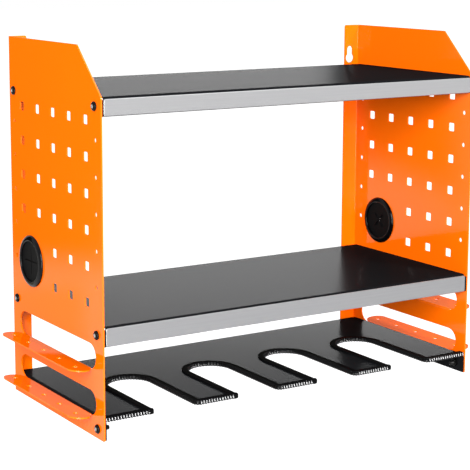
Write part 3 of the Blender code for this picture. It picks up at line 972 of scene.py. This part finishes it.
def membraneMesh(name, slitTurn, flapRadius, slitHalf, slitLip):
    form = bmesh.new()
    steps, flapRings, outerRings = grommet["flapSteps"], grommet["flapRings"], grommet["outerRings"]
    tipRadius = slitHalf * grommet["tipShare"]
    border = grommet["membraneRadius"] - flapRadius
    radii = [tipRadius + (flapRadius - tipRadius) * i / flapRings for i in range(flapRings + 1)]
    radii += [flapRadius + border * i / outerRings for i in range(1, outerRings + 1)]
    for flap in range(4):
        rows = []
        for radius in radii:
            gap = math.asin(slitHalf / radius) if radius < flapRadius - grommet["weld"] else 0.0
            start = slitTurn + flap * math.pi / 2 + gap
            sweep = math.pi / 2 - 2 * gap
            row = []
            for j in range(steps + 1):
                angle = start + sweep * j / steps
                lip = slitLip if j in (0, steps) and gap else 0.0
                height = membraneHeight(radius) + lip
                row.append(form.verts.new((height, radius * math.cos(angle), radius * math.sin(angle))))
            rows.append(row)
        for inner, outer in zip(rows, rows[1:]):
            for j in range(steps):
                form.faces.new((inner[j], outer[j], outer[j + 1], inner[j + 1]))
    bmesh.ops.remove_doubles(form, verts=form.verts, dist=grommet["weld"])
    bmesh.ops.recalc_face_normals(form, faces=form.faces)
    bmesh.ops.solidify(form, geom=form.faces[:], thickness=grommet["membraneThickness"])
    return meshFromForm(name, form, grommet["smoothAngle"])


def setOnPanel(mesh, faceX, way, middle):
    turn = Matrix.Identity(4) if way > 0 else Matrix.Rotation(math.pi, 4, "Z")
    mesh.transform(Matrix.Translation((faceX, middle.y, middle.z)) @ turn)


def addGrommet(side, face, way):
    node = side + "_grommet_" + face
    low, high = boxOf(node + "_ring")
    tip = high.x if way > 0 else low.x
    ring = grommetRingMesh(side + face.capitalize() + "Ring")
    membrane = membraneMesh(side + face.capitalize() + "Membrane", **grommet["slits"][side])
    for mesh, ending, finishName, slotEnding in (
        (ring, "_ring", "grommetPlastic", "_grommet_plastic"),
        (membrane, "_membrane", "membraneRubber", "_grommet_rubber"),
    ):
        setOnPanel(mesh, tip - way * grommet["rimHeight"], way, (low + high) / 2)
        mesh.materials.append(finished[finishName])
        addPiece(mesh.name, mesh, [node + ending])


for side, sign in (("left", -1.0), ("right", 1.0)):
    addGrommet(side, "outer", sign)
    addGrommet(side, "inner", -sign)
print("grommets set")

# Ribs of the push-on trim, along the rack's front edge and round each slot. A point of a rib's profile is
# a way out from the foot and a height, each as a share of the rib's own
trim = {
    "slotCount": 4,
    "slotPitch": 0.1054,
    "metalHalfWidth": 0.0274,
    "metalFront": -0.1077,
    "arcCentreY": -0.0101,
    "cornerRadius": 0.0050,
    "pathOffset": 0.0013,
    "middleZ": 0.02275,
    "pitch": 0.0034,
    "ribLength": 0.0021,
    "ribRounding": 0.0005,
    "ribReach": 0.00110,
    "ribHalfHeight": 0.0026,
    "ribRoot": 0.0009,
    "ribProfile": (
        (-1.0, -1.0),
        (0.55, -0.92),
        (0.95, -0.6),
        (1.0, -0.34),
        (0.86, -0.16),
        (0.56, 0.24),
        (0.26, 0.64),
        (0.1, 0.84),
        (-1.0, 1.0),
    ),
    "ribEndShare": 0.8,  # how much of the profile is left at a rib's ends
    "endGap": 0.0013,
    "cornerSteps": 8,
    "arcSteps": 40,
    "smoothAngle": math.radians(50),
}


def arcPoints(centre, radius, start, end, steps):
    angles = [start + (end - start) * i / steps for i in range(steps + 1)]
    return [(centre[0] + radius * math.cos(angle), centre[1] + radius * math.sin(angle)) for angle in angles]


def trimPath():
    low, high = boxOf("rack_edge_trim")
    offset, corner, half = trim["pathOffset"], trim["cornerRadius"], trim["metalHalfWidth"]
    front = trim["metalFront"]
    points = [(low.x + trim["endGap"], front - offset)]
    for i in range(trim["slotCount"]):
        middle = trim["slotPitch"] * (i - (trim["slotCount"] - 1) / 2)
        bend = (middle - half - corner, front + corner)
        points += arcPoints(bend, corner + offset, -math.pi / 2, 0.0, trim["cornerSteps"])
        points += arcPoints((middle, trim["arcCentreY"]), half - offset, math.pi, 0.0, trim["arcSteps"])
        bend = (middle + half + corner, front + corner)
        points += arcPoints(bend, corner + offset, math.pi, 1.5 * math.pi, trim["cornerSteps"])
    points.append((high.x - trim["endGap"], front - offset))
    curve = bpy.data.curves.new("trimPath", "CURVE")
    curve.dimensions = "3D"
    spline = curve.splines.new("POLY")
    spline.points.add(len(points) - 1)
    for i, (x, y) in enumerate(points):
        spline.points[i].co = (x, y, trim["middleZ"], 1.0)
    return curve


# One rib: a face that leans back, on a rounded foot, with rounded ends
def ribMesh():
    form = bmesh.new()
    half, rounding, profile = trim["ribLength"] / 2, trim["ribRounding"], trim["ribProfile"]
    endShare = trim["ribEndShare"]
    stations = ((-half, endShare), (-half + rounding, 1.0), (half - rounding, 1.0), (half, endShare))
    rings = []
    for along, share in stations:
        ring = []
        for out, height in profile:
            reach = -trim["ribRoot"] if out < 0 else out * share * trim["ribReach"]
            ring.append(form.verts.new((along, -reach, height * trim["ribHalfHeight"] * share)))
        rings.append(ring)
    for first, second in zip(rings, rings[1:]):
        for i in range(len(profile)):
            j = (i + 1) % len(profile)
            form.faces.new((first[i], first[j], second[j], second[i]))
    form.faces.new(rings[0])
    form.faces.new(rings[-1])
    return meshFromForm("ribPart", form, trim["smoothAngle"])


def addTrimRibs():
    values = {"Material": finished["ribRubber"], "Pitch": trim["pitch"]}
    mesh = grownMesh("trimRibs", trimPath(), ribMesh(), ribsAlongPath, values)
    addPiece("trimRibs", mesh, [])
    print("trim ribs set:", len(mesh.polygons), "faces")


addTrimRibs()

for boxName, box in studio["glints"].items():
    addSoftBox(boxName, **box)
print("glints set")
